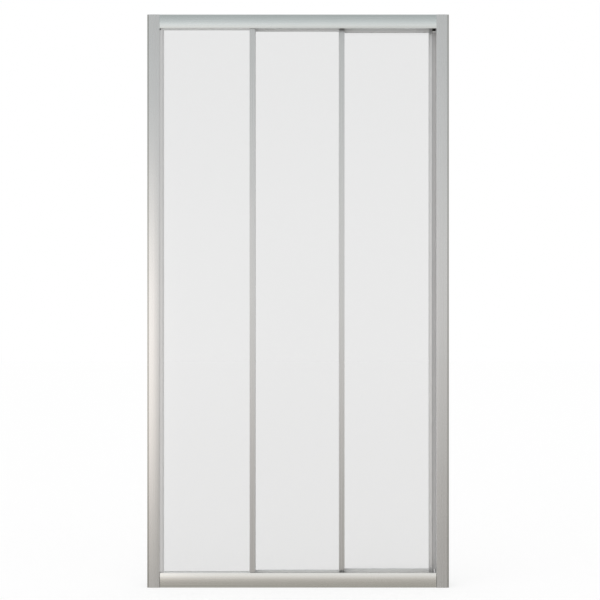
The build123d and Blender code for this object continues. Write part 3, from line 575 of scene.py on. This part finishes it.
def makeDome():
    material, tree = newMaterial("studioDome")
    where = addNode(tree, "TexCoord")
    way = addNode(tree, "VectorMath", {"operation": "NORMALIZE"}, _0=where.outputs["Object"])
    part = addNode(tree, "SeparateXYZ", _0=way.outputs[0])
    height = addNode(tree, "MapRange", {"From Min": -1.0, "From Max": 1.0}, Value=part.outputs["Z"])
    ramp = addNode(tree, "ValToRGB", Fac=height.outputs[0])
    stops = ramp.color_ramp.elements
    while len(stops) < len(domeLook["tones"]):
        stops.new(0.5)
    for stop, (place, colour) in zip(stops, domeLook["tones"]):
        stop.position = place
        stop.color = linear(colour)
    lift = addNode(tree, "Math", {"operation": "ADD", 1: domeLook["glowUnder"]}, _0=part.outputs["Z"])
    rise = addNode(tree, "Math", {"operation": "ABSOLUTE"}, _0=lift.outputs[0])
    near = addNode(tree, "MapRange", {
        "interpolation_type": "SMOOTHSTEP", "From Min": domeLook["glowEven"],
        "From Max": domeLook["glowEnd"], "To Min": 1.0, "To Max": 0.0,
    }, Value=rise.outputs[0])
    left = addNode(tree, "MapRange", {
        "interpolation_type": "SMOOTHSTEP", "From Min": 0.0, "From Max": domeLook["glowFull"],
        "To Min": 0.0, "To Max": 1.0,
    }, Value=part.outputs["X"])
    both = addNode(tree, "Math", {"operation": "MULTIPLY"}, _0=near.outputs[0], _1=left.outputs[0])
    off = addNode(tree, "Math", {"operation": "ABSOLUTE"}, _0=part.outputs["X"])
    side = addNode(tree, "MapRange", {
        "interpolation_type": "SMOOTHSTEP", "From Min": domeLook["sidesFrom"],
        "From Max": domeLook["sidesFull"], "To Min": 1.0, "To Max": 1.0 + domeLook["sides"],
    }, Value=off.outputs[0])
    glow = addNode(tree, "Math", {"operation": "MULTIPLY_ADD", 1: domeLook["glow"]}, _0=both.outputs[0],
                   _2=side.outputs[0])
    light = addNode(tree, "Emission", Color=ramp.outputs[0], Strength=glow.outputs[0])
    addNode(tree, "OutputMaterial", Surface=light.outputs[0])
    shape = bmesh.new()
    bmesh.ops.create_uvsphere(shape, u_segments=64, v_segments=32, radius=domeLook["radius"])
    bmesh.ops.reverse_faces(shape, faces=shape.faces)
    onlyMirrored(stagePiece(shape, "studioDome", material))


card = {
    "left": -1.1,             # m, its edges in X
    "right": -0.4,
    "full": -0.6,             # m, the place in X to the left of which it is full
    "front": -0.55,           # m in Y
    "middle": 0.72,           # m above the floor
    "half": 1.0,              # m up and down from there
    "even": 0.1,              # m up and down within which it doesn't fade
    "strength": 0.57,
    "colour": "fff4ea",
}


def makeCard():  # a soft bright card close to the left jamb, as a window beside the door would be
    material, tree = newMaterial("windowCard")
    where = addNode(tree, "TexCoord")
    part = addNode(tree, "SeparateXYZ", _0=where.outputs["Object"])
    right = addNode(tree, "MapRange", {
        "interpolation_type": "SMOOTHSTEP", "From Min": card["right"], "From Max": card["full"],
        "To Min": 0.0, "To Max": card["strength"],
    }, Value=part.outputs["X"])
    middle = addNode(tree, "Math", {"operation": "SUBTRACT", 1: card["middle"]}, _0=part.outputs["Z"])
    off = addNode(tree, "Math", {"operation": "ABSOLUTE"}, _0=middle.outputs[0])
    fade = addNode(tree, "MapRange", {
        "interpolation_type": "SMOOTHSTEP", "From Min": card["even"], "From Max": card["half"],
        "To Min": 1.0, "To Max": 0.0,
    }, Value=off.outputs[0])
    power = addNode(tree, "Math", {"operation": "MULTIPLY"}, _0=right.outputs[0], _1=fade.outputs[0])
    lift = addNode(tree, "Emission", {"Color": linear(card["colour"])}, Strength=power.outputs[0])
    clear = addNode(tree, "BsdfTransparent")
    both = addNode(tree, "AddShader", _0=lift.outputs[0], _1=clear.outputs[0])
    addNode(tree, "OutputMaterial", Surface=both.outputs[0])
    shape = bmesh.new()
    low = card["middle"] - card["half"]
    high = card["middle"] + card["half"]
    corners = [(card["left"], low), (card["right"], low), (card["right"], high), (card["left"], high)]
    shape.faces.new([shape.verts.new((x, card["front"], z)) for x, z in corners])
    onlyMirrored(stagePiece(shape, "windowCard", material))


air = {"matt": 0.76, "mirrored": 1.0}     # what matt surfaces get from all round, and what all else sees


def makeWorld():
    world = bpy.data.worlds.new("studioAir")
    bpy.context.scene.world = world
    world.use_nodes = True
    tree = world.node_tree
    tree.nodes.clear()
    ray = addNode(tree, "LightPath")
    seen = addNode(tree, "Math", {"operation": "MAXIMUM"}, _0=ray.outputs["Is Camera Ray"],
                   _1=ray.outputs["Is Glossy Ray"])
    seenToo = addNode(tree, "Math", {"operation": "MAXIMUM"}, _0=seen.outputs[0],
                      _1=ray.outputs["Is Transmission Ray"])
    level = addNode(tree, "MapRange", {"To Min": air["matt"], "To Max": air["mirrored"]},
                    Value=seenToo.outputs[0])
    light = addNode(tree, "Background", {"Color": (1, 1, 1, 1)}, Strength=level.outputs[0])
    addNode(tree, "OutputWorld", Surface=light.outputs[0])


sun = {
    "energy": 0.85,
    "spread": 70.0,           # degrees, a very large soft light
    "forward": 32.0,          # degrees from straight above towards the front
    "left": 14.0,             # and towards the left
}


def makeSun():
    lamp = bpy.data.lights.new("softSun", "SUN")
    lamp.energy = sun["energy"]
    lamp.angle = math.radians(sun["spread"])
    lampObject = bpy.data.objects.new("softSun", lamp)
    bpy.context.scene.collection.objects.link(lampObject)
    lampObject.rotation_euler = (math.radians(sun["forward"]), math.radians(-sun["left"]), 0)
    lampObject.visible_glossy = False


makeFloor()
makeDome()
makeCard()
makeWorld()
makeSun()
bpy.context.scene.view_settings.view_transform = "Standard"
print("studio made")
